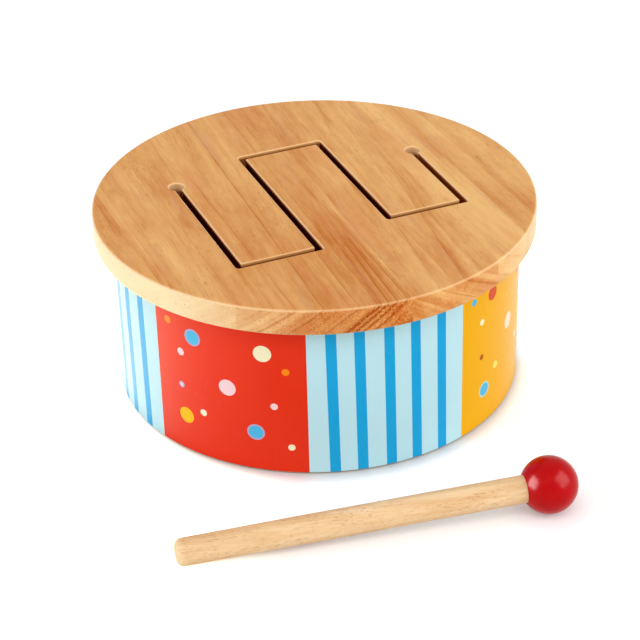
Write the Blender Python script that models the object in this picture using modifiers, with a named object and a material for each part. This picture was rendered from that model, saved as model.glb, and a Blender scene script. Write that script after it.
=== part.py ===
"""A toy tongue drum with its mallet, in metres, +Z up.

The drum stands on the floor with its axis on Z. A bent plywood shell is closed below by a base board that
sits flush inside it, and above by a thick glued-up board, which overhangs it all round. One routed slot runs
back and forth through the top board and frees three tongues of unlike length, and each sounds its own note.
A printed skin is wrapped round the shell. The mallet, a dowel with a ball on its end, lies in front.

The origin is the centre of the drum's underside. The tongues run along Y.
"""

import math

import bmesh
import bpy
from mathutils import Matrix, Vector

MM = 0.001

# Driving dimensions of the drum
DRUM_HEIGHT = 87.4 * MM
BOARD_DIAMETER = 200 * MM
BOARD_THICKNESS = 12.2 * MM
BOARD_EASE = 1.0 * MM
SKIN_DIAMETER = 185.6 * MM
SKIN_THICKNESS = 0.4 * MM
SKIN_BOTTOM = 1.0 * MM
SHELL_WALL = 4.2 * MM
SHELL_EASE = 0.7 * MM
SEAT_DEPTH = 2.0 * MM
BASE_THICKNESS = 5.0 * MM
BASE_EASE = 0.5 * MM

# The slot's route: its four long runs lie at these places across the board, and its three cross runs and two
# blind ends at these places along it
SLOT_WIDTH = 3.2 * MM
SLOT_EASE = 0.5 * MM
SLOT_END_DIAMETER = 7.0 * MM
LONG_RUNS_X = (-53.5 * MM, -16.3 * MM, 22.4 * MM, 59.2 * MM)
CROSS_RUNS_Y = (-44.9 * MM, 48.8 * MM, -32.5 * MM)
FIRST_END_Y = 35.0 * MM
LAST_END_Y = 22.6 * MM

# The printed skin: eight panels on one strip, whose ends meet at the back of the shell
PANEL_COUNT = 8
PANEL_WIDTH = 73.6 * MM
SEAM_ANGLE = math.radians(66.6)
SEAM_GAP = 0.5 * MM
FACETS_PER_PANEL = 12
# The finishes of the panels in turn, clockwise from the seam: 0 striped pale blue, 1 red, 2 yellow
PANEL_ORDER = (1, 0, 2, 0)

# Driving dimensions of the mallet, and where it lies
BALL_DIAMETER = 25 * MM
HANDLE_DIAMETER = 12 * MM
MALLET_LENGTH = 172 * MM
BUTT_ROUNDING = 3.5 * MM
HANDLE_PAST_CENTRE = 1.5 * MM
HANDLE_TIP_CHAMFER = 0.8 * MM
BALL_X, BALL_Y = 42.6 * MM, -148.9 * MM
MALLET_HEADING = math.radians(-10.6)

# Touching pieces keep this gap
GAP = 0.3 * MM

DRUM_STEPS = 96
MALLET_STEPS = 40
ARC_STEPS = 4
BUTT_STEPS = 6
BALL_STEPS = 18
SHARP_ANGLE = math.radians(32)

BOARD_RADIUS = BOARD_DIAMETER / 2
BOARD_BOTTOM = DRUM_HEIGHT - BOARD_THICKNESS
SKIN_OUTER = SKIN_DIAMETER / 2
SKIN_INNER = SKIN_OUTER - SKIN_THICKNESS
SHELL_OUTER = SKIN_INNER - GAP
SHELL_INNER = SHELL_OUTER - SHELL_WALL


def linear(red, green, blue):
    """A colour written as 0 to 255, the way paint charts give it, as the linear values that a shader takes."""
    def channel(value):
        share = value / 255
        return share / 12.92 if share <= 0.04045 else ((share + 0.055) / 1.055) ** 2.4
    return channel(red), channel(green), channel(blue), 1.0


def material(name, colour, roughness, metallic=0.0):
    made = bpy.data.materials.new(name)
    made.use_nodes = True
    shader = made.node_tree.nodes["Principled BSDF"]
    shader.inputs["Base Color"].default_value = colour
    shader.inputs["Roughness"].default_value = roughness
    shader.inputs["Metallic"].default_value = metallic
    made.diffuse_color = colour
    return made


def place(obj, collection, parent=None, finish=()):
    collection.objects.link(obj)
    obj.parent = parent
    for made in finish:
        obj.data.materials.append(made)
    return obj


def freeze(obj):
    """Gives the object the mesh that its modifiers make, shaded smooth except along its real edges."""
    bpy.context.view_layer.update()
    graph = bpy.context.evaluated_depsgraph_get()
    mesh = bpy.data.meshes.new_from_object(obj.evaluated_get(graph))
    obj.modifiers.clear()
    obj.data = mesh
    mesh.shade_smooth()
    mesh.set_sharp_from_angle(angle=SHARP_ANGLE)
    return obj


def arc(centre_r, centre_z, radius, start, end, steps=ARC_STEPS):
    """Points (r, z) along an arc of a turned profile, with its angles in degrees from +r towards +z."""
    angles = (math.radians(start + (end - start) * i / steps) for i in range(steps + 1))
    return [(centre_r + radius * math.cos(a), centre_z + radius * math.sin(a)) for a in angles]


def turned(name, profile, steps, closed=False):
    """A turned piece: the profile (r, z) runs down its outer side, and a Screw takes it round the Z axis."""
    mesh = bpy.data.meshes.new(name)
    count = len(profile)
    edges = [(i, (i + 1) % count) for i in range(count if closed else count - 1)]
    mesh.from_pydata([(r, 0, z) for r, z in profile], edges, [])
    obj = bpy.data.objects.new(name, mesh)
    screw = obj.modifiers.new("turn", "SCREW")
    screw.axis = "Z"
    screw.angle = math.tau
    screw.steps = screw.render_steps = steps
    screw.use_merge_vertices = True
    screw.merge_threshold = 0.01 * MM
    return obj


def slot_route():
    """The centre line of the slot, from its first blind end to its last, as points (x, y)."""
    first, second, third, fourth = LONG_RUNS_X
    front, back, short_front = CROSS_RUNS_Y
    return [Vector(point) for point in (
        (first, FIRST_END_Y), (first, front), (second, front), (second, back),
        (third, back), (third, short_front), (fourth, short_front), (fourth, LAST_END_Y),
    )]


def slot_outline(half_width, end_radius, corner_steps=4, end_steps=16):
    """What a round cutter of this half width clears along the route, with a drilled hole at each end.

    The cutter leaves the outer side of a corner round and its inner side sharp. The number of points doesn't
    depend on the widths, so outlines of unlike widths can be joined.
    """
    route = slot_route()
    headings = [(b - a).normalized() for a, b in zip(route, route[1:])]

    def left_side(points, ways):
        """The side to the left of the cutter, with the hole's arc round the last point."""
        side = []
        for i in range(1, len(points) - 1):
            before, after = ways[i - 1], ways[i]
            left_before = Vector((-before.y, before.x))
            left_after = Vector((-after.y, after.x))
            if before.cross(after) > 0:
                side.append(points[i] + (left_before + left_after) * half_width)
                continue
            for k in range(corner_steps + 1):
                turn = -math.pi / 2 * k / corner_steps
                side.append(points[i] + Matrix.Rotation(turn, 2) @ left_before * half_width)
        way = ways[-1]
        opening = math.asin(half_width / end_radius)
        for k in range(end_steps + 1):
            turn = (math.pi - opening) * (1 - 2 * k / end_steps)
            side.append(points[-1] + Matrix.Rotation(turn, 2) @ way * end_radius)
        return side

    forward = left_side(route, headings)
    backward = left_side(route[::-1], [-way for way in headings[::-1]])
    return forward + backward


def loft(name, sections):
    """A closed solid through outlines of equal length, given as (height, points) from the bottom up."""
    shape = bmesh.new()
    rings = [[shape.verts.new((p.x, p.y, z)) for p in points] for z, points in sections]
    count = len(rings[0])
    for low, high in zip(rings, rings[1:]):
        for i in range(count):
            j = (i + 1) % count
            shape.faces.new((low[i], low[j], high[j], high[i]))
    shape.faces.new(rings[0])
    shape.faces.new(rings[-1])
    bmesh.ops.recalc_face_normals(shape, faces=shape.faces)
    mesh = bpy.data.meshes.new(name)
    shape.to_mesh(mesh)
    shape.free()
    return bpy.data.objects.new(name, mesh)


def make_slot_cutter(cutters):
    """Straight walls through the board, opening out at the top as the eased edge does."""
    below = BOARD_BOTTOM - 1 * MM
    ease_starts = DRUM_HEIGHT - SLOT_EASE
    above = DRUM_HEIGHT + SLOT_EASE
    narrow = slot_outline(SLOT_WIDTH / 2, SLOT_END_DIAMETER / 2)
    wide = slot_outline(SLOT_WIDTH / 2 + 2 * SLOT_EASE, SLOT_END_DIAMETER / 2 + 2 * SLOT_EASE)
    cutter = loft("slot_cutter", [(below, narrow), (ease_starts, narrow), (above, wide)])
    cutter.display_type = "WIRE"
    cutter.hide_render = True
    cutters.objects.link(cutter)
    return cutter


def make_top_board(collection, cutters, drum, finish):
    """A disc with eased edges and a groove below that seats the shell, cut through by the slot."""
    rim = BOARD_RADIUS - BOARD_EASE
    groove_outer = SHELL_OUTER + GAP
    groove_inner = SHELL_INNER - GAP
    groove_top = BOARD_BOTTOM + SEAT_DEPTH
    profile = [(0, DRUM_HEIGHT)]
    profile += arc(rim, DRUM_HEIGHT - BOARD_EASE, BOARD_EASE, 90, 0)
    profile += arc(rim, BOARD_BOTTOM + BOARD_EASE, BOARD_EASE, 0, -90)
    profile += [
        (groove_outer, BOARD_BOTTOM), (groove_outer, groove_top),
        (groove_inner, groove_top), (groove_inner, BOARD_BOTTOM), (0, BOARD_BOTTOM),
    ]
    board = place(turned("top_board", profile, DRUM_STEPS), collection, drum, [finish])
    cut = board.modifiers.new("slot", "BOOLEAN")
    cut.operation = "DIFFERENCE"
    cut.object = make_slot_cutter(cutters)
    return freeze(board)


def make_shell(collection, drum, finish):
    """The bent plywood ring, with its lower outer edge eased and its top edge in the board's groove."""
    top = BOARD_BOTTOM + SEAT_DEPTH - GAP
    profile = [(SHELL_OUTER, top)]
    profile += arc(SHELL_OUTER - SHELL_EASE, SHELL_EASE, SHELL_EASE, 0, -90)
    profile += [(SHELL_INNER, 0), (SHELL_INNER, top)]
    return freeze(place(turned("shell", profile, DRUM_STEPS, closed=True), collection, drum, [finish]))


def make_base(collection, drum, finish):
    """The plywood disc that closes the shell from below, flush with its edge."""
    shape = bmesh.new()
    radius = SHELL_INNER - GAP
    lift = Matrix.Translation((0, 0, BASE_THICKNESS / 2))
    bmesh.ops.create_cone(shape, cap_ends=True, segments=DRUM_STEPS, radius1=radius, radius2=radius,
                          depth=BASE_THICKNESS, matrix=lift)
    mesh = bpy.data.meshes.new("base_board")
    shape.to_mesh(mesh)
    shape.free()
    base = place(bpy.data.objects.new("base_board", mesh), collection, drum, [finish])
    ease = base.modifiers.new("ease", "BEVEL")
    ease.width = BASE_EASE
    ease.segments = 2
    ease.limit_method = "ANGLE"
    ease.angle_limit = math.radians(60)
    return freeze(base)


def strip_edges():
    """The angles of the strip's first end, of the lines between its panels, and of its other end, clockwise.

    The strip is a little longer than the way round, so its last panel is cut short at the seam.
    """
    panel_turn = PANEL_WIDTH / SKIN_OUTER
    half_seam = SEAM_GAP / 2 / SKIN_OUTER
    between = [SEAM_ANGLE - i * panel_turn for i in range(1, PANEL_COUNT)]
    return [SEAM_ANGLE - half_seam] + between + [SEAM_ANGLE - math.tau + half_seam]


def make_skin(collection, drum, finishes):
    """The printed strip round the shell: a curve's flat outline, as tall as the shell's open side."""
    edges = strip_edges()
    angles = [
        start + (end - start) * i / FACETS_PER_PANEL
        for start, end in zip(edges, edges[1:]) for i in range(FACETS_PER_PANEL)
    ] + edges[-1:]
    outline = [(SKIN_OUTER * math.cos(a), SKIN_OUTER * math.sin(a)) for a in angles]
    outline += [(SKIN_INNER * math.cos(a), SKIN_INNER * math.sin(a)) for a in reversed(angles)]

    flat = bpy.data.curves.new("skin_outline", "CURVE")
    flat.dimensions = "2D"
    flat.fill_mode = "BOTH"
    top = BOARD_BOTTOM - GAP
    flat.extrude = (top - SKIN_BOTTOM) / 2
    spline = flat.splines.new("POLY")
    spline.points.add(len(outline) - 1)
    for point, (x, y) in zip(spline.points, outline):
        point.co = (x, y, 0, 1)
    spline.use_cyclic_u = True
    guide = place(bpy.data.objects.new("skin_outline", flat), collection, drum)
    guide.location.z = (top + SKIN_BOTTOM) / 2
    bpy.context.view_layer.update()
    mesh = bpy.data.meshes.new_from_object(guide.evaluated_get(bpy.context.evaluated_depsgraph_get()))
    mesh.name = "printed_skin"
    shape = bmesh.new()
    shape.from_mesh(mesh)
    bmesh.ops.remove_doubles(shape, verts=shape.verts, dist=0.01 * MM)
    shape.to_mesh(mesh)
    shape.free()
    skin = place(bpy.data.objects.new("printed_skin", mesh), collection, drum, finishes)
    skin.matrix_world = guide.matrix_world
    bpy.data.objects.remove(guide)
    for face in mesh.polygons:
        turn = (SEAM_ANGLE - math.atan2(face.center.y, face.center.x)) % math.tau
        panel = int(turn / (PANEL_WIDTH / SKIN_OUTER))
        face.material_index = PANEL_ORDER[panel % len(PANEL_ORDER)]
    mesh.shade_smooth()
    mesh.set_sharp_from_angle(angle=SHARP_ANGLE)
    return skin


def mallet_tilt():
    """How far the mallet's axis rises towards the ball, when it lies on the ball and on the handle's end."""
    ball = BALL_DIAMETER / 2
    handle = HANDLE_DIAMETER / 2
    reach = MALLET_LENGTH - ball - BUTT_ROUNDING
    return math.asin(ball / math.hypot(reach, handle)) - math.atan2(handle, reach)


def make_mallet_handle(collection, mallet, finish):
    """The dowel. Its butt is rounded over, and its other end sits in the ball at its full diameter."""
    radius = HANDLE_DIAMETER / 2
    butt = BALL_DIAMETER / 2 - MALLET_LENGTH
    profile = [
        (0, HANDLE_PAST_CENTRE),
        (radius - HANDLE_TIP_CHAMFER, HANDLE_PAST_CENTRE),
        (radius, HANDLE_PAST_CENTRE - HANDLE_TIP_CHAMFER),
    ]
    profile += arc(radius - BUTT_ROUNDING, butt + BUTT_ROUNDING, BUTT_ROUNDING, 0, -90, BUTT_STEPS)
    profile.append((0, butt))
    return freeze(place(turned("mallet_handle", profile, MALLET_STEPS), collection, mallet, [finish]))


def make_mallet_head(collection, mallet, finish):
    """The ball, with a blind bore that takes the handle."""
    radius = BALL_DIAMETER / 2
    bore = HANDLE_DIAMETER / 2 + GAP
    bore_end = HANDLE_PAST_CENTRE + GAP
    mouth = -math.degrees(math.acos(bore / radius))
    profile = arc(0, 0, radius, 90, mouth, BALL_STEPS) + [(bore, bore_end), (0, bore_end)]
    profile[0] = (0, radius)
    return freeze(place(turned("mallet_head", profile, MALLET_STEPS), collection, mallet, [finish]))


def main():
    for obj in list(bpy.data.objects):
        bpy.data.objects.remove(obj)
    scene = bpy.context.scene
    parts = bpy.data.collections.new("toy_tongue_drum")
    cutters = bpy.data.collections.new("cutters")
    cutters.hide_render = True
    scene.collection.children.link(parts)
    scene.collection.children.link(cutters)

    board_wood = material("oiled_board_wood", linear(222, 165, 105), 0.5)
    plywood = material("plywood", linear(226, 196, 150), 0.6)
    pale_blue = material("pale_blue_print", linear(188, 226, 236), 0.25)
    red = material("red_print", linear(232, 58, 40), 0.25)
    yellow = material("yellow_print", linear(250, 178, 22), 0.25)
    dowel_wood = material("dowel_wood", linear(240, 200, 140), 0.55)
    red_lacquer = material("red_lacquer", linear(200, 22, 28), 0.2)

    drum = place(bpy.data.objects.new("drum", None), parts)
    make_top_board(parts, cutters, drum, board_wood)
    make_shell(parts, drum, plywood)
    make_base(parts, drum, plywood)
    make_skin(parts, drum, [pale_blue, red, yellow])

    mallet = place(bpy.data.objects.new("mallet", None), parts)
    mallet.location = (BALL_X, BALL_Y, BALL_DIAMETER / 2)
    mallet.rotation_euler = (0, math.pi / 2 - mallet_tilt(), MALLET_HEADING)
    make_mallet_handle(parts, mallet, dowel_wood)
    make_mallet_head(parts, mallet, red_lacquer)


main()
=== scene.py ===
# %% [markdown]
# # A toy tongue drum and its mallet
#
# The drum is a round wooden box with a thick top board. One slot, routed back and forth through the board,
# frees three tongues, and each rings at its own pitch when the mallet's ball strikes it. The round wall
# carries a printed skin in panels: stripes, red with dots, stripes, yellow with dots.
#
# The construction is already modelled to size. This script dresses it: it makes each piece again with finer
# edges, gives it the finish of the real one, and sets it on a white studio floor.
#
# The first step loads the imported model, and keeps its box. Its box is kept, because the dressed model has
# to stay inside it.

# %% Load the model
import math

import bmesh
import bpy
from mathutils import Euler, Matrix, Vector


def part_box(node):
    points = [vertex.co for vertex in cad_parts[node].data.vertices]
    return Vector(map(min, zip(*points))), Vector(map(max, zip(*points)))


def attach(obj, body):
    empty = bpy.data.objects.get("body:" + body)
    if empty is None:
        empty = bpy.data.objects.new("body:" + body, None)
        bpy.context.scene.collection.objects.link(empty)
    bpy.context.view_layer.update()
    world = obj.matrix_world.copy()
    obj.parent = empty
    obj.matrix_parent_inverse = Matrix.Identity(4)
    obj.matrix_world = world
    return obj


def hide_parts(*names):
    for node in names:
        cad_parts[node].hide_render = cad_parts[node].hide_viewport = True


MM = 0.001

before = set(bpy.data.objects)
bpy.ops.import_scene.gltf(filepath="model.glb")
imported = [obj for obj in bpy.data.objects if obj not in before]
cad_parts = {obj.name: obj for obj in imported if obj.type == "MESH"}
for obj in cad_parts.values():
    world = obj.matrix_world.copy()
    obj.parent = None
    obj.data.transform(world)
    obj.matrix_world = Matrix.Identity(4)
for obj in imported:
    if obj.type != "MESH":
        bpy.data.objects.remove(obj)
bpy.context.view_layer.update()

# %% [markdown]
# ## A shorthand for shader maths
#
# A wood or a print is a few dozen sums on the position of a point. Wired by hand in the shader editor that
# is a tangle, so here a socket is wrapped in a small class whose +, -, * and comparisons add the Math
# nodes. One method, `node`, makes every other kind of node from its type, its settings and what feeds its
# sockets.

# %% Sockets as expressions
class Field:
    """A number or a vector that varies over a surface. Arithmetic on a number adds Math nodes."""

    def __init__(self, finish, socket):
        self.finish = finish
        self.socket = socket

    def maths(self, operation, *values):
        return self.finish.node("ShaderNodeMath", {"operation": operation}, dict(enumerate(values)))

    def __add__(self, other):
        return self.maths("ADD", self, other)

    def __sub__(self, other):
        return self.maths("SUBTRACT", self, other)

    def __rsub__(self, other):
        return self.maths("SUBTRACT", other, self)

    def __mul__(self, other):
        return self.maths("MULTIPLY", self, other)

    def __truediv__(self, other):
        return self.maths("DIVIDE", self, other)

    def __rtruediv__(self, other):
        return self.maths("DIVIDE", other, self)

    def __mod__(self, other):
        return self.maths("FLOORED_MODULO", self, other)

    def __gt__(self, other):
        return self.maths("GREATER_THAN", self, other)

    def __lt__(self, other):
        return self.maths("LESS_THAN", self, other)

    def __abs__(self):
        return self.maths("ABSOLUTE", self)

    def __pow__(self, other):
        return self.maths("POWER", self, other)

    __radd__ = __add__
    __rmul__ = __mul__

    def clamped(self):
        return self.finish.node("ShaderNodeClamp", {}, {"Value": self})

    def rise(self, start, end):
        """0 before start and 1 after end, with a smooth climb between them."""
        return self.finish.node("ShaderNodeMapRange", {"interpolation_type": "SMOOTHSTEP"},
                                {"Value": self, "From Min": start, "From Max": end})


class Finish:
    """The shader of a new material, or of a world, and the calls that build its nodes."""

    def __init__(self, owner):
        self.owner = bpy.data.materials.new(owner) if isinstance(owner, str) else owner
        self.owner.use_nodes = True
        self.tree = self.owner.node_tree
        self.shader = self.tree.nodes.get("Principled BSDF") or self.tree.nodes["Background"]

    def feed(self, socket, value):
        if isinstance(value, Field):
            self.tree.links.new(value.socket, socket)
        else:
            socket.default_value = value

    def node(self, kind, settings=None, inputs=None, output=0):
        made = self.tree.nodes.new(kind)
        for name, value in (settings or {}).items():
            setattr(made, name, value)
        for key, value in (inputs or {}).items():
            self.feed(made.inputs[key], value)
        return Field(self, made.outputs[output])

    def axes(self, vector):
        split = self.node("ShaderNodeSeparateXYZ", {}, {0: vector}).socket.node
        return [Field(self, out) for out in split.outputs]

    def vector(self, x, y, z):
        return self.node("ShaderNodeCombineXYZ", {}, {0: x, 1: y, 2: z})

    def place(self, location=(0, 0, 0), rotation=(0, 0, 0)):
        """The point in millimetres, in a frame with this place and turn."""
        spot = self.node("ShaderNodeTexCoord", {}, {}, "Object")
        return self.node("ShaderNodeMapping", {"vector_type": "TEXTURE"},
                         {"Vector": spot, "Location": location, "Rotation": rotation, "Scale": (MM, MM, MM)})

    def noise(self, x, y, z, detail=2.0, roughness=0.5):
        """Soft noise from -0.5 to 0.5, whose cells are one unit across."""
        return self.node("ShaderNodeTexNoise", {}, {
            "Vector": self.vector(x, y, z), "Scale": 1.0, "Detail": detail, "Roughness": roughness}) - 0.5

    def grain(self, across, along, deep, width, length, detail=2.0, roughness=0.5):
        """Noise with cells of this length along the fibres, and of this width in both other directions."""
        return self.noise(across / width, along / length, deep / width, detail, roughness)

    def mix(self, factor, low, high, blend="MIX"):
        return self.node("ShaderNodeMix", {"data_type": "RGBA", "blend_type": blend},
                         {0: factor, 6: low, 7: high}, 2)

    def bump(self, height, distance):
        """Bumps that rise by this distance, in metres, where the height is 1."""
        return self.node("ShaderNodeBump", {}, {"Height": height, "Distance": distance, "Strength": 1.0})

    def surface(self, **sockets):
        """Sets the shader's sockets. Their names are written with _ for each space."""
        for name, value in sockets.items():
            self.feed(self.shader.inputs[name.replace("_", " ")], value)
        return self.owner


def paint(red, green, blue):
    """A colour written as 0 to 255, as a paint chart gives it, as the linear values that a shader takes."""
    def channel(value):
        share = value / 255
        return share / 12.92 if share <= 0.04045 else ((share + 0.055) / 1.055) ** 2.4
    return channel(red), channel(green), channel(blue), 1.0


print("a mid wood tone in linear light:", [round(c, 3) for c in paint(222, 165, 105)])

# %% [markdown]
# ## The board's wood
#
# The top board is glued up from staves of a pale hardwood, laid side by side with the grain along the
# tongues. A picture of wood would smear at the rim. A solid wood, worked out from the position in the
# block, runs on from the face over the edge, so the same dark ring shows as a long line on top and as a
# slanting one on the rim.
#
# Each stave has its tone. Its rings are sheets that slope through the thickness: up to the right in the
# staves to the left of the middle, and down to the right in the others. The rings that show as lines are
# listed one by one, because the eye goes to them, and noise makes the rest.

# %% Where the staves meet, and how each one differs
BOARD_TOP = 87.4
BOARD_RADIUS = 100.0
BOARD_FRONT = -95.0
STAVE_EDGES = (-89.0, -66.5, 2.5, 23.4, 48.5, 70.0)
MIDDLE_EDGE = STAVE_EDGES[2]
STAVE_TONES = (0.54, 0.34, 0.46, 0.38, 0.32, 0.14, 0.26)
STAVE_SEEDS = (0.0, 17.0, 34.0, 51.0, 68.0, 85.0, 102.0)
RING_SLOPES = (0.9, 0.9, 0.8, -0.62, -0.6, -0.6, -0.6)
GRAIN_LEANS = (0.0, 0.0, 0.045, 0.06, 0.05, -0.02, -0.03)
SWAY = 3.0
# Growth rings that show as lines. Each has its place across the board at the front edge, how far it leans to
# the right on its way back, the width and the depth of the shade to its right, the depth of its line, and how
# far back it ends.
RINGS = (
    (-86.0, 0.005, 9.0, 0.22, 0.05, 120), (-65.6, 0.005, 6.0, 0.18, 0.00, 120),
    (-53.4, 0.010, 7.0, 0.10, 0.05, 120), (-45.2, 0.002, 2.0, 0.10, 0.22, 40),
    (-34.9, 0.045, 5.0, 0.20, 0.30, 120), (-20.6, 0.030, 5.0, 0.20, 0.28, -40),
    (-13.0, 0.030, 8.0, 0.20, 0.10, 120), (-11.4, 0.070, 3.0, 0.12, 0.50, -50),
    (-8.2, 0.075, 7.0, 0.30, 0.55, -40), (-4.4, 0.050, 5.0, 0.30, 0.45, -46),
    (0.2, 0.012, 4.0, 0.28, 0.30, -30), (3.0, 0.020, 9.0, 0.16, 0.00, 120),
    (16.0, 0.120, 5.0, 0.14, 0.16, 0), (28.4, 0.130, 6.0, 0.26, 0.14, -10),
    (36.5, 0.060, 7.0, 0.14, 0.05, 120), (70.0, -0.005, 9.0, 0.08, 0.00, 120),
    (83.0, -0.030, 8.0, 0.16, 0.05, 120),
)
LINE_ON_FACE, WIDER_ON_RIM = 0.55, 0.9
RING_FADE = 20
print(len(STAVE_TONES), "staves and", len(RINGS), "rings that show")


def by_stave(x, values):
    """One of the values in each stave, from the left of the board to the right."""
    result = values[0]
    for edge, before, after in zip(STAVE_EDGES, values, values[1:]):
        if after != before:
            result = (x > edge) * (after - before) + result
    return result


def ring_marks(x, y, slope, sway, end_grain):
    """The shades to the right of the listed rings, and their lines. A ring stays in its half of the board."""
    left_half = x < MIDDLE_EDGE
    right_half = 1 - left_half
    line_width = end_grain * WIDER_ON_RIM + LINE_ON_FACE
    shades, lines = 0.0, 0.0
    for front, lean, width, shade, line, end in RINGS:
        past = x + sway * 0.4 + slope - ((y - BOARD_FRONT) * lean + front)
        near = y.rise(end + RING_FADE, end - RING_FADE) * (left_half if front < MIDDLE_EDGE else right_half)
        shades = (past > 0) * (1 - past / width).clamped() ** 1.5 * near * shade + shades
        if line:
            lines = (1 - abs(past) / line_width).clamped() * near * line + lines
    return shades, lines


# %% [markdown]
# ## Tone, rim and slot
#
# The tone adds up from wide bands to fine fibres, all stretched along the grain. A redder flame with dark
# streaks runs in from the front edge. Sawn ends drink more oil, so the rim is darker where the fibres end,
# at the front and the back, and it shows their pores as specks. At the left and right, where the fibres run
# along the rim, it is paler than the face: painted light from the side lamps.
#
# The slot's short walls are browned, and all its walls get painted shade that darkens deeper down. The
# shade is darkest and red-brown on the long walls, where little light reaches. The drilled ends stay pale
# near the top, and every eased edge has a painted highlight. All of this is told apart by where a point lies
# and which way its face looks.

# %% The finish of the board
LIGHT_WOOD, DARK_WOOD = paint(250, 196, 124), paint(203, 113, 36)
RUDDY_WOOD, ROSY_WOOD = paint(226, 140, 82), paint(226, 168, 122)
RING_BROWN, PORE_BROWN = paint(140, 64, 18), paint(176, 98, 40)
# PAINTED_SIDE_LIGHT is painted light: the rim's left and right faces are made paler, as the side lamps light
# them
PAINTED_SIDE_LIGHT, OILED_END = paint(254, 236, 192), paint(230, 168, 80)
DARK_SPECK, GOLD_SPECK = paint(150, 78, 24), paint(246, 192, 110)
# The short walls' own brown, and the painted shade that darkens them further down the slot
SHORT_WALL, SHORT_WALL_SHADE = paint(232, 172, 104), paint(140, 72, 26)
# Painted shade on the slot's long walls, darker deeper down, and darker at the left than at the right
SLOT_SHADE, DEEP_SLOT_SHADE_LEFT, DEEP_SLOT_SHADE_RIGHT = paint(200, 112, 56), paint(70, 8, 2), paint(136, 58, 14)
# DRILLED_WOOD is the drilled ends' pale wall; EDGE_HIGHLIGHT is a painted highlight on every eased edge
DRILLED_WOOD, EDGE_HIGHLIGHT = paint(250, 206, 150), paint(255, 212, 160)
FLAME_PLACE, FLAME_WIDTH = -3.0, 12.0
FLAME_TIP, FLAME_ROOT = 20, -70
HOLES = ((-53.5, 35.0), (59.2, 22.6))
# The squares of the distances from a hole's middle at which its wall's colour starts and is full
HOLE_FADE = (15, 12.6)
# Where the painted shade in the slot changes from its left colour to its right one
SLOT_SHADE_CHANGE = (22, 60)
INNER_RADIUS = BOARD_RADIUS - 8.0


def board_tone(wood, x, y, depth, end_grain):
    """How dark the wood is at a point, with the parts of it that the colours need as well."""
    slope = depth / by_stave(x, RING_SLOPES)
    seed = by_stave(x, STAVE_SEEDS)
    sway = wood.grain(x, y, depth, 40, 80, 1.0) * SWAY
    across = x - by_stave(x, GRAIN_LEANS) * (y - BOARD_FRONT) + sway
    ring_place = across + slope
    shades, lines = ring_marks(x, y, slope, sway, end_grain)

    wide_bands = wood.noise(ring_place / 11, y / 120 + seed, seed, 2.0, 0.5) * 1.25
    narrow_bands = wood.noise(ring_place / 2.8, y / 60 + seed, seed, 2.0, 0.6) * 0.48
    clouds = wood.noise(across / 14, y / 30 + seed, depth / 14, 2.0, 0.5) * 0.34
    flame = (1 - abs(across - FLAME_PLACE) / FLAME_WIDTH).clamped() * y.rise(FLAME_TIP, FLAME_ROOT)
    streaks = wood.noise(across / 1.1, y / 38, depth / 2, 3.0, 0.7) * (1.15 - end_grain * 0.7)
    wander = wood.noise(ring_place / 4.5, y / 130 + seed, seed + 5, 0.0)
    broken = wood.noise(ring_place / 9, y / 30, seed + 9, 1.0).rise(-0.15, 0.25)
    threads = (1 - abs(wander) * 24).clamped() * broken * (0.26 - end_grain * 0.18)
    fibres = wood.grain(across, y, depth, 0.6, 9, 2.0, 0.7)
    mottling = wood.grain(across, y, depth, 5, 13, 2.0, 0.6)

    tone = by_stave(x, STAVE_TONES) + wide_bands + narrow_bands + clouds + shades
    tone = tone + flame * (streaks + 0.16) + threads + fibres * 0.52 + mottling * 0.36 + lines * 0.7
    return tone, across, lines, flame, fibres


def rim_colours(wood, colour, x, y, z, tone, flame, end_grain, facing_z):
    """The rim: painted light where the fibres run along it, oiled dark with specks where they end."""
    # Painted light from the side lamps, on the rim's left and right where the fibres run along it
    side_light_mask = (1 - end_grain) * facing_z.rise(0.98, 0.45)
    colour = wood.mix(side_light_mask * 0.84, colour, PAINTED_SIDE_LIGHT)
    oiled = (tone * 1.1 - 0.28 + flame * 0.45).clamped()
    colour = wood.mix(end_grain * oiled, colour, OILED_END, "MULTIPLY")
    specks = wood.grain(x, y, z, 0.62, 6, 1.0)
    speckled = end_grain * ((x < MIDDLE_EDGE) * 0.55 + 0.45)
    colour = wood.mix(speckled * specks.rise(0.05, 0.28) * 0.62, colour, DARK_SPECK)
    return wood.mix(speckled * specks.rise(-0.05, -0.26) * 0.70, colour, GOLD_SPECK)


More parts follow.
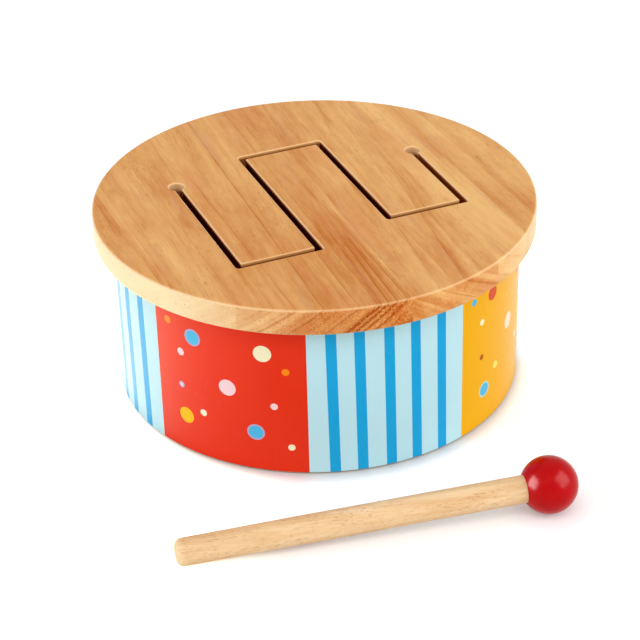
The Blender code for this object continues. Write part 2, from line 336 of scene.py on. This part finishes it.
def cut_colours(wood, colour, x, y, depth, end_grain, facing_x, facing_z):
    """The slot: browned short walls, painted shade deep down, drilled ends, and painted edge highlights."""
    inside = x * x + y * y < INNER_RADIUS ** 2
    drilled = 0.0
    for hole_x, hole_y in HOLES:
        aside, ahead = x - hole_x, y - hole_y
        drilled = (aside * aside + ahead * ahead).rise(*HOLE_FADE) + drilled
    drilled = drilled * depth.rise(5.0, 2.5)
    colour = wood.mix(inside * end_grain * 0.7, colour, SHORT_WALL)
    # Painted shade: the short walls darken deeper in the slot
    colour = wood.mix(inside * end_grain * depth.rise(0.8, 2.0) * 0.85, colour, SHORT_WALL_SHADE)
    # Painted shade on the long walls, which little light reaches; the drilled ends stay out of it near the
    # top
    slot_shade_mask = inside * abs(facing_x).rise(0.4, 0.9) * (1 - drilled)
    colour = wood.mix(slot_shade_mask * depth.rise(0.3, 1.2), colour, SLOT_SHADE)
    deep_slot_shade = wood.mix(x.rise(*SLOT_SHADE_CHANGE), DEEP_SLOT_SHADE_LEFT, DEEP_SLOT_SHADE_RIGHT)
    colour = wood.mix(slot_shade_mask * depth.rise(0.8, 2.2), colour, deep_slot_shade)
    colour = wood.mix(drilled * facing_z.rise(0.95, 0.80) * 0.85, colour, DRILLED_WOOD)
    # Painted highlight on the eased edges, stronger at the slot's edges
    edge_highlight_mask = facing_z.rise(0.05, 0.45) * facing_z.rise(0.995, 0.90)
    return wood.mix(edge_highlight_mask * (inside * 0.43 + 0.22), colour, EDGE_HIGHLIGHT)


def board_wood():
    wood = Finish("oiled_hardwood_board")
    x, y, z = wood.axes(wood.place())
    depth = BOARD_TOP - z
    facing_x, facing_y, facing_z = wood.axes(wood.node("ShaderNodeTexCoord", {}, {}, "Normal"))
    end_grain = abs(facing_y).rise(0.45, 1.0)
    tone, across, lines, flame, fibres = board_tone(wood, x, y, depth, end_grain)

    colour = wood.mix(tone.clamped(), LIGHT_WOOD, DARK_WOOD)
    ruddy = wood.noise(across / 12 + 31, y / 60, depth / 12, 2.0).rise(0.0, 0.22)
    colour = wood.mix(ruddy * 0.36, colour, RUDDY_WOOD)
    rosy = wood.noise(across / 6 + 7, y / 50, depth / 6 + 7, 3.0, 0.6).rise(0.02, 0.22)
    colour = wood.mix(rosy * 0.34, colour, ROSY_WOOD)
    colour = wood.mix(lines.clamped() * (end_grain * 0.6 + 0.25), colour, RING_BROWN)
    colour = rim_colours(wood, colour, x, y, z, tone, flame, end_grain, facing_z)
    pores = wood.grain(x, y, z, 0.42, 5, 1.0).rise(0.09, 0.20)
    porous = wood.grain(x, y, z, 9, 40, 1.0).rise(-0.08, 0.22)
    colour = wood.mix(pores * porous * (0.42 - end_grain * 0.25), colour, PORE_BROWN)
    colour = cut_colours(wood, colour, x, y, depth, end_grain, facing_x, facing_z)
    return wood.surface(
        Base_Color=colour,
        Roughness=0.46 + fibres * 0.2 + end_grain * 0.08,
        Specular_IOR_Level=0.10,
        Normal=wood.bump(fibres * 0.5 - pores * 0.6, 0.00006))


board_finish = board_wood()
print("the board's wood has", len(board_finish.node_tree.nodes), "nodes")

# %% [markdown]
# ## The bare plywood of the shell and the base
#
# The shell is bent from thin plies and the base is a plywood disc. Both are bare. Little of them shows: the
# shell's lower edge, the seam at the back, a glimpse through the slot, and the whole base when the drum is
# turned over. The plies of the shell are rings round the axis, so their tone follows the distance from it.

# %% Plywood
PLY = 1.4
PLY_LIGHT, PLY_DARK = paint(240, 216, 172), paint(202, 160, 104)


def plywood(name, plies_are_rings):
    wood = Finish(name)
    x, y, z = wood.axes(wood.place())
    distance = (x * x + y * y) ** 0.5
    layer = (distance if plies_are_rings else z) / PLY
    even = (layer % 2) > 1
    figure = wood.noise(x / 7, y / 70, z / 30, 3.0, 0.6) * 0.7
    fibres = wood.noise(x / 0.7, y / 18, z / 12, 2.0, 0.65) * 0.5
    tone = 0.4 + even * 0.28 + figure + fibres
    colour = wood.mix(tone.clamped(), PLY_LIGHT, PLY_DARK)
    return wood.surface(Base_Color=colour, Roughness=0.62 + fibres * 0.15,
                        Normal=wood.bump(fibres, 0.00008))


shell_finish = plywood("bent_plywood", True)
base_finish = plywood("flat_plywood", False)
print("two plywoods,", PLY, "mm plies")

# %% [markdown]
# ## The printed skin
#
# The skin is one long strip, printed and laminated, then wrapped round the shell. So its pattern is drawn
# in two lengths: how far round the strip a point lies, which is its angle times the radius, and how high it
# is. A stripe is a distance from a line, and a dot is a distance from a point. The print repeats after four
# panels. The laminate is smooth, so at a glancing angle it mirrors the white floor as a haze.

# %% The print's layout, in millimetres along the strip and up it
SKIN_RADIUS = 92.8
SKIN_THICKNESS = 0.4
SKIN_LOW, SKIN_HIGH = 1.0, 74.9
PANEL = 73.6
SEAM_ANGLE = math.radians(66.6)
SEAM_GAP = 0.5
STRIPE_WIDTH = 4.7
STRIPES = (11.9, 25.1, 37.4, 50.5, 62.7)
STRIPE_LEAN, UPRIGHT_AT = 0.014, 35.0
PALE_BLUE, STRIPE_BLUE = paint(191, 231, 240), paint(28, 166, 223)
RED, YELLOW = paint(230, 52, 24), paint(242, 176, 0)
CREAM, PINK, ORANGE = paint(246, 240, 200), paint(248, 214, 218), paint(250, 138, 26)
SKY, LILAC, GOLD = paint(78, 186, 230), paint(176, 170, 210), paint(253, 190, 8)
TOMATO, BRICK, LEMON = paint(216, 74, 20), paint(180, 80, 12), paint(250, 232, 110)
PEACH, ICE = paint(252, 226, 196), paint(180, 220, 210)
# Each dot: its place along its panel, height, diameter, colour, and the colour of its rim where it has one
RED_DOTS = (
    (66.0, 65.1, 3.8, ORANGE, None), (52.1, 60.9, 8.3, SKY, LILAC), (59.2, 51.4, 3.7, PINK, None),
    (18.9, 60.6, 8.0, CREAM, None), (9.0, 52.3, 3.4, ORANGE, None), (35.6, 40.4, 8.0, PINK, None),
    (59.7, 34.4, 3.2, PINK, LILAC), (14.5, 34.4, 3.3, PINK, None), (57.9, 19.0, 7.9, GOLD, None),
    (48.3, 23.7, 3.4, CREAM, None), (23.1, 20.1, 8.0, SKY, LILAC), (7.4, 13.8, 3.2, CREAM, None),
)
YELLOW_DOTS = (
    (66.2, 67.1, 3.4, SKY, None), (52.1, 65.4, 7.1, TOMATO, None), (60.3, 54.4, 3.1, CREAM, None),
    (34.7, 42.0, 8.0, PEACH, None), (60.2, 36.4, 2.8, BRICK, None), (48.3, 26.3, 3.7, LEMON, None),
    (57.7, 18.3, 7.7, SKY, ICE), (20.0, 60.0, 3.4, TOMATO, None), (12.0, 47.5, 7.6, SKY, ICE),
    (21.5, 27.0, 3.4, CREAM, None), (9.5, 15.0, 3.4, BRICK, None),
)
RIM_OF_DOT = 0.75


def dotted(ink, ground, dots, along, height):
    colour = ground
    for place, level, diameter, fill, rim in dots:
        sideways, upwards = along - place, height - level
        square = sideways * sideways + upwards * upwards
        radius = diameter / 2
        if rim:
            colour = ink.mix(square < radius ** 2, colour, rim)
            radius -= RIM_OF_DOT
        colour = ink.mix(square < radius ** 2, colour, fill)
    return colour


def printed_panels():
    ink = Finish("laminated_print")
    x, y, z = ink.axes(ink.place())
    angle = y.maths("ARCTAN2", y, x)
    strip = ((SEAM_ANGLE - angle) % math.tau) * SKIN_RADIUS
    repeat = strip % (4 * PANEL)
    along = strip % PANEL
    upright = along - (z - UPRIGHT_AT) * STRIPE_LEAN

    striped = 0.0
    for stripe in STRIPES:
        striped = (abs(upright - stripe) < STRIPE_WIDTH / 2) + striped
    colour = ink.mix(striped, PALE_BLUE, STRIPE_BLUE)
    in_red = repeat < PANEL
    in_yellow = (repeat > 2 * PANEL) * (repeat < 3 * PANEL)
    colour = ink.mix(in_red, colour, dotted(ink, RED, RED_DOTS, along, z))
    colour = ink.mix(in_yellow, colour, dotted(ink, YELLOW, YELLOW_DOTS, along, z))

    cloud = ink.noise(x / 26, y / 26, z / 26, 2.0)
    ripple = ink.noise(x / 9, y / 9, z / 22, 2.0)
    return ink.surface(
        Base_Color=colour,
        Roughness=0.27 + cloud * 0.06,
        Specular_IOR_Level=0.065,
        Normal=ink.bump(ripple, 0.00002))


print_finish = printed_panels()
print("the print has", len(RED_DOTS) + len(YELLOW_DOTS), "dots and",
      len(print_finish.node_tree.nodes), "nodes")

# %% [markdown]
# ## The mallet's dowel and lacquer
#
# The handle is a turned dowel of plain pale wood, with short dark flecks along it that slant a little,
# because the wood wasn't sawn quite true. Its pattern is worked out in the mallet's own frame, with Z along
# the dowel, because the mallet lies turned and slightly tilted: it rests on its ball and on the rounded end
# of the handle. The ball is dipped in red lacquer, which flows out smooth and glossy.

# %% The mallet's place, and its two finishes
BALL_RADIUS = 12.5
HANDLE_RADIUS = 6.0
MALLET_LENGTH = 172.0
BUTT_ROUNDING = 3.5
BALL_PLACE = (42.6 * MM, -148.9 * MM, BALL_RADIUS * MM)
BUTT = BALL_RADIUS - MALLET_LENGTH
REACH = -BUTT - BUTT_ROUNDING
MALLET_TILT = math.asin(BALL_RADIUS / math.hypot(REACH, HANDLE_RADIUS)) - math.atan2(HANDLE_RADIUS, REACH)
MALLET_TURN = (0.0, math.pi / 2 - MALLET_TILT, math.radians(-10.6))
GRAIN_SLANT = 0.09
PALE_BUTT = 5
DOWEL_LIGHT, DOWEL_DARK = paint(252, 220, 174), paint(222, 168, 110)
DOWEL_CREAM, FLECK_BROWN = paint(252, 226, 192), paint(182, 114, 52)
BRIGHT_RED, DEEP_RED = paint(194, 2, 6), paint(182, 2, 8)


def dowel():
    wood = Finish("dowel_wood")
    x, y, z = wood.axes(wood.place(BALL_PLACE, MALLET_TURN))
    aslant = y + z * GRAIN_SLANT
    figure = wood.noise(x / 3.6, aslant / 3.6, z / 60, 2.0, 0.6)
    fibres = wood.noise(x / 0.5, aslant / 0.5, z / 8, 2.0, 0.6)
    pale_butt = z.rise(BUTT + PALE_BUTT, BUTT)
    tone = 0.46 + figure * 1.3 + fibres * 0.5 - pale_butt * 0.6
    colour = wood.mix(tone.clamped(), DOWEL_LIGHT, DOWEL_DARK)
    cream = wood.noise(x / 4 + 3, aslant / 4, z / 15, 2.0).rise(0.06, 0.24)
    colour = wood.mix(cream * 0.5, colour, DOWEL_CREAM)
    flecks = wood.noise(x / 0.34, aslant / 0.34, z / 2.4, 1.0, 0.5).rise(0.10, 0.20)
    in_patches = wood.noise(x / 5, y / 5, z / 26, 1.0).rise(-0.12, 0.16)
    colour = wood.mix(flecks * (0.13 + in_patches * 0.42), colour, FLECK_BROWN)
    return wood.surface(Base_Color=colour, Roughness=0.52 + fibres * 0.15, Specular_IOR_Level=0.12,
                        Normal=wood.bump(fibres - flecks, 0.00006))


def lacquer():
    red = Finish("red_lacquer")
    x, y, z = red.axes(red.place(BALL_PLACE, MALLET_TURN))
    cloud = red.noise(x / 6, y / 6, z / 6, 2.0)
    colour = red.mix((0.5 + cloud).clamped(), BRIGHT_RED, DEEP_RED)
    flow = red.noise(x / 5, y / 5, z / 9, 2.0)
    return red.surface(Base_Color=colour, Roughness=0.20 + cloud * 0.06, Specular_IOR_Level=0.11,
                       Normal=red.bump(flow, 0.00012))


dowel_finish = dowel()
lacquer_finish = lacquer()
print("the mallet rises by", round(math.degrees(MALLET_TILT), 2), "degrees towards its ball")

# %% [markdown]
# ## Helpers for the pieces
#
# Every piece starts as a bmesh. A turned piece is a chain of points that `spin` takes round the axis, and a
# cut is a Boolean whose result becomes the mesh. A finished piece takes one material, moves with its body,
# and stands for its plain node.

# %% Chain, spin, cut and finish
DRUM_STEPS = 288
MALLET_STEPS = 160
MERGE_DISTANCE = 0.0005
SHARP_ANGLE = 40
FLAT_FACE_WEIGHT = 100


def chain(shape, points):
    """Points (r, z) in millimetres, joined one to the next."""
    verts = [shape.verts.new((r * MM, 0, z * MM)) for r, z in points]
    for a, b in zip(verts, verts[1:]):
        shape.edges.new((a, b))
    return verts


def turn(shape, steps):
    """Takes all that the shape holds once round the Z axis."""
    bmesh.ops.spin(shape, geom=shape.verts[:] + shape.edges[:], cent=(0, 0, 0), axis=(0, 0, 1),
                   angle=math.tau, steps=steps, use_merge=True, dvec=(0, 0, 0))
    bmesh.ops.remove_doubles(shape, verts=shape.verts, dist=MERGE_DISTANCE * MM)


def arc(r, z, radius, start, end, steps):
    """Points along an arc round (r, z), its angles in degrees from +r towards +z."""
    angles = (math.radians(start + (end - start) * i / steps) for i in range(steps + 1))
    return [(r + radius * math.cos(a), z + radius * math.sin(a)) for a in angles]


def as_object(name, shape, matrix=Matrix()):
    bmesh.ops.recalc_face_normals(shape, faces=shape.faces)
    mesh = bpy.data.meshes.new(name)
    shape.to_mesh(mesh)
    shape.free()
    mesh.transform(matrix)
    made = bpy.data.objects.new(name, mesh)
    bpy.context.scene.collection.objects.link(made)
    return made


def cut(piece, cutter):
    """Takes the cutter's volume out of the piece, and removes the cutter."""
    modifier = piece.modifiers.new("cut", "BOOLEAN")
    modifier.object = cutter
    bpy.context.view_layer.update()
    graph = bpy.context.evaluated_depsgraph_get()
    mesh = bpy.data.meshes.new_from_object(piece.evaluated_get(graph))
    piece.modifiers.clear()
    piece.data = mesh
    bpy.data.objects.remove(cutter)


def dress(piece, node, body, finish):
    """Shades the piece smooth with flat faces kept flat, and lets it stand for its node."""
    piece.data.materials.clear()
    piece.data.materials.append(finish)
    piece.data.shade_smooth()
    piece.data.set_sharp_from_angle(angle=math.radians(SHARP_ANGLE))
    flat = piece.modifiers.new("flat_faces", "WEIGHTED_NORMAL")
    flat.keep_sharp = True
    flat.weight = FLAT_FACE_WEIGHT
    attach(piece, body)
    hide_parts(node)
    low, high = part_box(node)
    size = [round((b - a) / MM, 1) for a, b in zip(low, high)]
    print(piece.name, "stands for", node, size, "mm, with", len(piece.data.polygons), "faces")
    return piece


# %% [markdown]
# ## The top board
#
# The maker turns a disc, drills a hole at each end of the slot's route, and runs a narrow straight cutter
# from one to the other. Then all edges are sanded round. A bevel on the finished cut would have to cope
# with the big flat faces that a Boolean leaves, so the rounding is built into the cutters instead: each one
# flares at the top along a quarter circle, and leaves the eased edge behind.
#
# The slot's plan is a face whose inner corners stay sharp and whose outer corners are rounded by a vertex
# bevel with the radius of the cutter. Insets draw the flare in from its widest outline.

# %% The disc
BOARD_THICKNESS = 12.2
BOARD_BOTTOM = BOARD_TOP - BOARD_THICKNESS
BOARD_EASE = 1.2
SHELL_OUTER, SHELL_INNER = 92.1, 87.9
SEAT_DEPTH = 2.0
GAP = 0.3
EASE_STEPS = 6

shape = bmesh.new()
rim = BOARD_RADIUS - BOARD_EASE
seat_top = BOARD_BOTTOM + SEAT_DEPTH
groove = [(SHELL_OUTER + GAP, BOARD_BOTTOM), (SHELL_OUTER + GAP, seat_top),
          (SHELL_INNER - GAP, seat_top), (SHELL_INNER - GAP, BOARD_BOTTOM)]
chain(shape, arc(rim, BOARD_TOP - BOARD_EASE, BOARD_EASE, 90, 0, EASE_STEPS)
      + arc(rim, BOARD_BOTTOM + BOARD_EASE, BOARD_EASE, 0, -90, EASE_STEPS) + groove)
turn(shape, DRUM_STEPS)
bmesh.ops.holes_fill(shape, edges=shape.edges[:], sides=0)
board = as_object("tongue_board", shape)
print("the disc:", len(board.data.polygons), "faces")

# %% The slot's route
SLOT_WIDTH = 3.2
SLOT_EASE = 0.7
SLOT_EASE_STEPS = 6
CORNER_STEPS = 6
HOLE_DIAMETER = 7.0
HOLE_STEPS = 64
CLEARANCE = 1.0
LONG_RUNS = (-53.5, -16.3, 22.4, 59.2)
FRONT_RUN, BACK_RUN, SHORT_FRONT_RUN = -44.9, 48.8, -32.5
FIRST_HOLE, LAST_HOLE = HOLES
ROUTE = [Vector(point) for point in (
    FIRST_HOLE, (LONG_RUNS[0], FRONT_RUN), (LONG_RUNS[1], FRONT_RUN), (LONG_RUNS[1], BACK_RUN),
    (LONG_RUNS[2], BACK_RUN), (LONG_RUNS[2], SHORT_FRONT_RUN), (LONG_RUNS[3], SHORT_FRONT_RUN), LAST_HOLE)]


def slot_plan(half_width, height):
    """The flat face that a cutter sweeps along the route, with its outer corners rounded, as a new bmesh."""
    shape = bmesh.new()
    ways = [(b - a).normalized() for a, b in zip(ROUTE, ROUTE[1:])]
    left, right, outer = [], [], []
    for point, before, after in zip(ROUTE, ways[:1] + ways, ways + ways[-1:]):
        bend = before.cross(after)
        side = Vector((-before.y, before.x)) + Vector((-after.y, after.x))
        side *= half_width if bend else half_width / 2
        left.append(shape.verts.new((*(point + side) * MM, height * MM)))
        right.append(shape.verts.new((*(point - side) * MM, height * MM)))
        if bend:
            outer.append(right[-1] if bend > 0 else left[-1])
    shape.faces.new(left + right[::-1])
    bmesh.ops.bevel(shape, geom=outer, offset=half_width * MM, offset_type="OFFSET", affect="VERTICES",
                    segments=CORNER_STEPS, profile=0.5, material=-1)
    return shape


def flare(radius):
    """A sanded edge from above the board down, as (half width, height), with the straight wall last."""
    angles = [math.radians(90 * i / SLOT_EASE_STEPS) for i in range(SLOT_EASE_STEPS - 1, -1, -1)]
    curve = [(radius + SLOT_EASE * (1 - math.cos(t)), BOARD_TOP - SLOT_EASE * (1 - math.sin(t)))
             for t in angles]
    edge = (radius + SLOT_EASE, BOARD_TOP)
    beyond = (2 * edge[0] - curve[0][0], 2 * edge[1] - curve[0][1])
    return [beyond] + curve + [(radius, BOARD_BOTTOM - CLEARANCE)]


def sink(shape, faces, drop):
    """Extrudes the faces straight down, and returns the new ones."""
    grown = bmesh.ops.extrude_face_region(shape, geom=faces)["geom"]
    sunk = [item for item in grown if isinstance(item, bmesh.types.BMFace)]
    bmesh.ops.translate(shape, verts=sunk[0].verts[:], vec=(0, 0, -drop * MM))
    return sunk


def slot_cutter():
    widest, *curve, foot = flare(SLOT_WIDTH / 2)
    shape = slot_plan(widest[0], BOARD_TOP + CLEARANCE)
    lowest = sink(shape, shape.faces[:], BOARD_TOP + CLEARANCE - widest[1])
    for (width, height), (narrower, lower) in zip([widest] + curve, curve):
        bmesh.ops.inset_region(shape, faces=lowest, thickness=(width - narrower) * MM, use_even_offset=True)
        bmesh.ops.translate(shape, verts=lowest[0].verts[:], vec=(0, 0, (lower - height) * MM))
    sink(shape, lowest, lower - foot[1])
    bmesh.ops.delete(shape, geom=lowest, context="FACES_ONLY")
    return as_object("slot_cutter", shape)


def drill(place):
    shape = bmesh.new()
    levels = flare(HOLE_DIAMETER / 2)
    chain(shape, [(levels[0][0], BOARD_TOP + CLEARANCE)] + levels)
    turn(shape, HOLE_STEPS)
    bmesh.ops.holes_fill(shape, edges=shape.edges[:], sides=0)
    return as_object("drill", shape, Matrix.Translation((place[0] * MM, place[1] * MM, 0)))


cut(board, slot_cutter())
cut(board, drill(FIRST_HOLE))
cut(board, drill(LAST_HOLE))
dress(board, "top_board", "drum", board_finish)

# %% [markdown]
# ## The shell, the base and the skin
#
# The shell and the base are turned. The skin is a thin strip whose ends nearly meet at the back, so it is a
# small upright face that `spin` carries round from one end to the other, which leaves both ends closed.

# %% Shell and base
SHELL_EASE = 0.7
BASE_THICKNESS = 5.0
BASE_EASE = 0.5
BASE_EASE_STEPS = 4

shape = bmesh.new()
loop = chain(shape, [(SHELL_OUTER, seat_top - GAP)]
             + arc(SHELL_OUTER - SHELL_EASE, SHELL_EASE, SHELL_EASE, 0, -90, EASE_STEPS)
             + [(SHELL_INNER, 0), (SHELL_INNER, seat_top - GAP)])
shape.edges.new((loop[-1], loop[0]))
turn(shape, DRUM_STEPS)
dress(as_object("shell_ring", shape), "shell", "drum", shell_finish)

shape = bmesh.new()
base_radius = SHELL_INNER - GAP
base_rim = base_radius - BASE_EASE
chain(shape, arc(base_rim, BASE_THICKNESS - BASE_EASE, BASE_EASE, 90, 0, BASE_EASE_STEPS)
      + arc(base_rim, BASE_EASE, BASE_EASE, 0, -90, BASE_EASE_STEPS))
turn(shape, DRUM_STEPS)
bmesh.ops.holes_fill(shape, edges=shape.edges[:], sides=0)
dress(as_object("base_disc", shape), "base_board", "drum", base_finish)

# %% Skin
shape = bmesh.new()
half_seam = SEAM_GAP / 2 / SKIN_RADIUS
corners = [(SKIN_RADIUS - SKIN_THICKNESS, SKIN_LOW), (SKIN_RADIUS, SKIN_LOW),
           (SKIN_RADIUS, SKIN_HIGH), (SKIN_RADIUS - SKIN_THICKNESS, SKIN_HIGH)]
shape.faces.new([shape.verts.new((r * MM, 0, z * MM)) for r, z in corners])
start = Matrix.Rotation(SEAM_ANGLE + half_seam, 3, "Z")
bmesh.ops.rotate(shape, verts=shape.verts, cent=(0, 0, 0), matrix=start)
bmesh.ops.spin(shape, geom=shape.verts[:] + shape.edges[:] + shape.faces[:], cent=(0, 0, 0), axis=(0, 0, 1),
               angle=math.tau - 2 * half_seam, steps=DRUM_STEPS, use_merge=False, dvec=(0, 0, 0))
dress(as_object("skin_strip", shape), "printed_skin", "drum", print_finish)

# %% [markdown]
# ## The mallet
#
# The handle is a dowel with its butt turned round. The ball is a turned sphere with a blind bore, in which
# the handle ends. Both are made upright, with the ball's centre at zero, and then laid in their place.
# Finer steps make a round piece a hair larger than the plain one, so the sanding takes that off again.

# %% Handle and ball
HANDLE_PAST_CENTRE = 1.5
HANDLE_TIP_CHAMFER = 0.8
BUTT_STEPS = 12
BALL_STEPS = 64
SANDING = 0.04
laid_down = Matrix.Translation(BALL_PLACE) @ Euler(MALLET_TURN).to_matrix().to_4x4()

shape = bmesh.new()
butt = BUTT + SANDING
chain(shape, [(0, HANDLE_PAST_CENTRE), (HANDLE_RADIUS - HANDLE_TIP_CHAMFER, HANDLE_PAST_CENTRE),
              (HANDLE_RADIUS, HANDLE_PAST_CENTRE - HANDLE_TIP_CHAMFER)]
      + arc(HANDLE_RADIUS - BUTT_ROUNDING, butt + BUTT_ROUNDING, BUTT_ROUNDING, 0, -90, BUTT_STEPS)
      + [(0, butt)])
turn(shape, MALLET_STEPS)
dress(as_object("mallet_dowel", shape, laid_down), "mallet_handle", "mallet", dowel_finish)

shape = bmesh.new()
bore = HANDLE_RADIUS + GAP
bore_end = HANDLE_PAST_CENTRE + GAP
round_off = BALL_RADIUS - SANDING
mouth = -math.degrees(math.acos(bore / round_off))
outside = arc(0, 0, round_off, 90, mouth, BALL_STEPS)[1:]
chain(shape, [(0, round_off)] + outside + [(bore, bore_end), (0, bore_end)])
turn(shape, MALLET_STEPS)
ball = dress(as_object("mallet_ball", shape, laid_down),
             "mallet_head", "mallet", lacquer_finish)

# %% [markdown]
# ## The studio
#
# The set is white all round, and the floor keeps a soft shadow. A white floor lit until it clips would also
# burn out the pale print, so the floor adds a little of its own white, which only the camera and
# reflections see. Close round the drum's foot the floor's grey is painted darker and adds less white: a
# painted shadow, set a little towards the front. Beside the mallet, ambient occlusion finds the narrow gap
# and darkens the floor the same way, and that shade goes with the mallet in every pose. Patches at the
# sides glow more, and the glossy wall mirrors them.
#
# Three soft boxes light the set and don't show in gloss. Two reflectors light nothing: they stand low to
# the left and high to the right, and show as reflections in the ball alone.

# %% Floor and world
FLOOR_SIZE = 6.0
FLOOR_GREY = 0.84
FLOOR_GLOW = 0.34
# The floor's grey in the painted shadow round the drum's foot and beside the mallet
PAINTED_SHADOW_GREY = 0.66
CONTACT_RADIUS = 88.0
CONTACT_WIDTH = 11.0
CONTACT_CENTRE = (-1.2, -3.4)
CONTACT_REACH = 10.0
MALLET_CONTACT = 0.50
MALLET_ZONE = (104, 112)
# Each glow has its angle to the right of the camera's direction, its distance from the drum, its width and
# its strength.
SIDE_GLOWS = ((-55, 190, 150, 7.0), (-95, 200, 170, 3.0), (100, 180, 170, 0.4))
SIDE_GREEN, SIDE_BLUE = 0.97, 0.74
AMBIENT = 0.40
VIEW_TURN = -22.0

scene = bpy.context.scene
scene.view_settings.view_transform = "Standard"


def grey(level):
    return level, level, level, 1.0


def for_the_eye(finish, low, high):
    """The high grey where the camera looks, straight or by a reflection, and the low one for other light."""
    rays = finish.node("ShaderNodeLightPath").socket.node.outputs
    looks = [Field(finish, rays[name]) for name in ("Is Camera Ray", "Is Glossy Ray", "Is Transmission Ray")]
    return finish.mix((looks[0] + looks[1] + looks[2]).clamped(), grey(low), grey(high))


def floor_white():
    """White paper that glows a little for the eye, with painted shade by the drum and beside the mallet."""
    white = Finish("white_floor")
    x, y, _ = white.axes(white.place())
    sideways, forwards = x - CONTACT_CENTRE[0], y - CONTACT_CENTRE[1]
    away = (sideways * sideways + forwards * forwards) ** 0.5
    open_floor = (away - CONTACT_RADIUS).rise(0, CONTACT_WIDTH)
    openness = white.node("ShaderNodeAmbientOcclusion", {"samples": 16},
                          {"Distance": CONTACT_REACH * MM}, "AO")
    beside_mallet = (1 - openness) * away.rise(*MALLET_ZONE)
    open_floor = open_floor * (1 - beside_mallet * MALLET_CONTACT)
    even = open_floor * FLOOR_GLOW
    aglow = 0.0
    for angle, distance, width, strength in SIDE_GLOWS:
        centre = math.radians(angle + VIEW_TURN)
        sideways = x - distance * math.sin(centre)
        forwards = y + distance * math.cos(centre)
        spread = (sideways * sideways + forwards * forwards) / width ** 2
        aglow = (1 - spread).clamped() ** 2 * open_floor * strength + aglow
    glow = white.vector(even + aglow, even + aglow * SIDE_GREEN, even + aglow * SIDE_BLUE)
    # Painted shadow: the floor's grey darkens round the drum's foot and beside the mallet
    tone = white.mix(open_floor, grey(PAINTED_SHADOW_GREY), grey(FLOOR_GREY))
    seen = for_the_eye(white, 0.0, 1.0)
    return white.surface(Base_Color=tone, Roughness=1.0, Specular_IOR_Level=0.0,
                         Emission_Color=white.mix(1.0, seen, glow, "MULTIPLY"),
                         Emission_Strength=1.0)


shape = bmesh.new()
bmesh.ops.create_grid(shape, x_segments=1, y_segments=1, size=FLOOR_SIZE)
floor = as_object("studio_floor", shape)
floor.data.materials.append(floor_white())

scene.world = bpy.data.worlds.new("white_studio")
sky = Finish(scene.world)
sky.surface(Color=for_the_eye(sky, AMBIENT, 1.0))
print("a floor", 2 * FLOOR_SIZE, "m wide, and a world that lights at", AMBIENT)

# %% Soft boxes
TARGET = Vector((0, 0, 45 * MM))
# Each box has its angle to the right of the camera's direction, its angle up and its distance, as seen from
# the drum, and then its width, its height and its radiance.
LEFT_SOFT_BOX = (-70.5, 15, 2.75, 1.9, 2.0, 2.65)
RIGHT_SOFT_BOX = (72, 15, 3.5, 2.75, 2.75, 2.95)
FRONT_FILL = (0, 55, 4.0, 4.0, 2.0, 2.4)
LEFT_REFLECTOR = (-70.5, 15, 1.1, 0.75, 0.8, 27.0)
RIGHT_REFLECTOR = (64.6, 31, 1.4, 1.1, 1.1, 7.6)


def from_photo(side_angle, elevation, distance):
    """A point at this angle to the right of the camera's own direction, as seen from the drum."""
    a, e = math.radians(side_angle + VIEW_TURN), math.radians(elevation)
    return TARGET + distance * Vector((math.sin(a) * math.cos(e), -math.cos(a) * math.cos(e), math.sin(e)))


def soft_box(name, side_angle, elevation, distance, width, height, radiance, only_reflected=False):
    """A lamp that faces the drum. It lights and has no reflection, or it is only reflected."""
    light = bpy.data.lights.new(name, "AREA")
    light.shape = "RECTANGLE"
    light.size, light.size_y = width, height
    light.energy = radiance * math.pi * width * height
    made = bpy.data.objects.new(name, light)
    made.location = from_photo(side_angle, elevation, distance)
    made.rotation_euler = (made.location - TARGET).to_track_quat("Z", "Y").to_euler()
    made.visible_camera = False
    made.visible_diffuse = not only_reflected
    made.visible_glossy = only_reflected
    scene.collection.objects.link(made)
    return made


def reach_only(lamp, pieces):
    """Keeps the lamp off all but these pieces."""
    lit = bpy.data.collections.new(lamp.name + "_reaches")
    for piece in pieces:
        lit.objects.link(piece)
    lamp.light_linking.receiver_collection = lit


soft_box("left_soft_box", *LEFT_SOFT_BOX)
soft_box("right_soft_box", *RIGHT_SOFT_BOX)
soft_box("front_fill", *FRONT_FILL)
reach_only(soft_box("left_reflector", *LEFT_REFLECTOR, only_reflected=True), [ball])
reach_only(soft_box("right_reflector", *RIGHT_REFLECTOR, only_reflected=True), [ball])
print("three soft boxes, and two that only show as reflections")

# %% [markdown]
# ## The camera
#
# The photograph was taken with a long lens from a little to the left of the slot's long runs, about a metre
# away and some thirty degrees up. The small turns after the aim are the photographer's: a touch high, and a
# degree and a half off level.

# %% Camera
CAMERA_DISTANCE = 970.4 * MM
CAMERA_ELEVATION = 30.325
AIM_HIGHER = 1.176
AIM_LEFT = -0.081
ROLL = -1.490
LENS = 118.35
SENSOR_WIDTH = 36

camera = bpy.data.objects.new("camera", bpy.data.cameras.new("camera"))
camera.data.lens = LENS
camera.data.sensor_width = SENSOR_WIDTH
camera.location = from_photo(0, CAMERA_ELEVATION, CAMERA_DISTANCE)
turned = Matrix.Rotation(math.radians(VIEW_TURN + AIM_LEFT), 3, "Z")
tipped = Matrix.Rotation(math.radians(90 - CAMERA_ELEVATION - AIM_HIGHER), 3, "X")
rolled = Matrix.Rotation(math.radians(ROLL), 3, "Z")
camera.rotation_euler = (turned @ tipped @ rolled).to_euler()
scene.collection.objects.link(camera)
scene.camera = camera
print("camera at", [round(c, 3) for c in camera.location])
